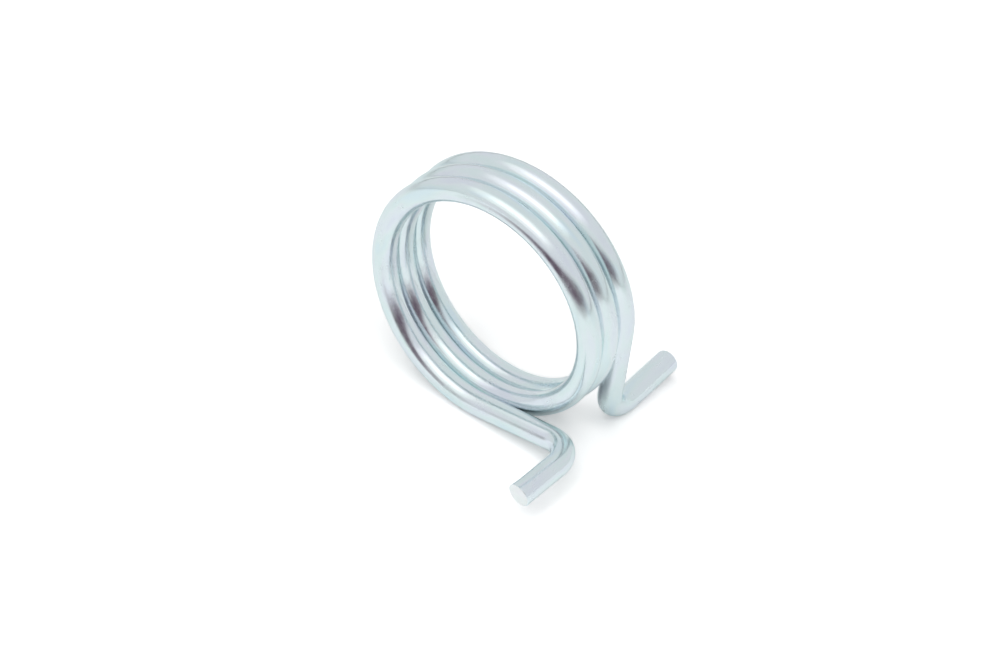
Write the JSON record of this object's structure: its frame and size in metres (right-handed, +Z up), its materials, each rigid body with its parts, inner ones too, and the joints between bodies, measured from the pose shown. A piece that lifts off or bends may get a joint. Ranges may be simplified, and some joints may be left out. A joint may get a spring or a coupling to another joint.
{
  "type": "torsion spring",
  "caption": "Helical torsion spring in round wire: a short close-wound coil with two straight legs, each bent square so that its tip points away along the coil's axis.",
  "frame": {"origin": "on the coil's axis, midway between the planes where the two legs leave the coil", "axes": "+Y along the coil's axis from the front tip's side to the rear tip's side, +Z up when the spring stands on its coil and on the bend of its rear leg"},
  "size_m": [0.0284, 0.0274, 0.027],
  "materials": {
    "zinc_wire": "bright zinc plate on drawn spring steel wire"
  },
  "bodies": {
    "root": {"torsion_spring": "zinc_wire"}
  },
  "joints": []
}
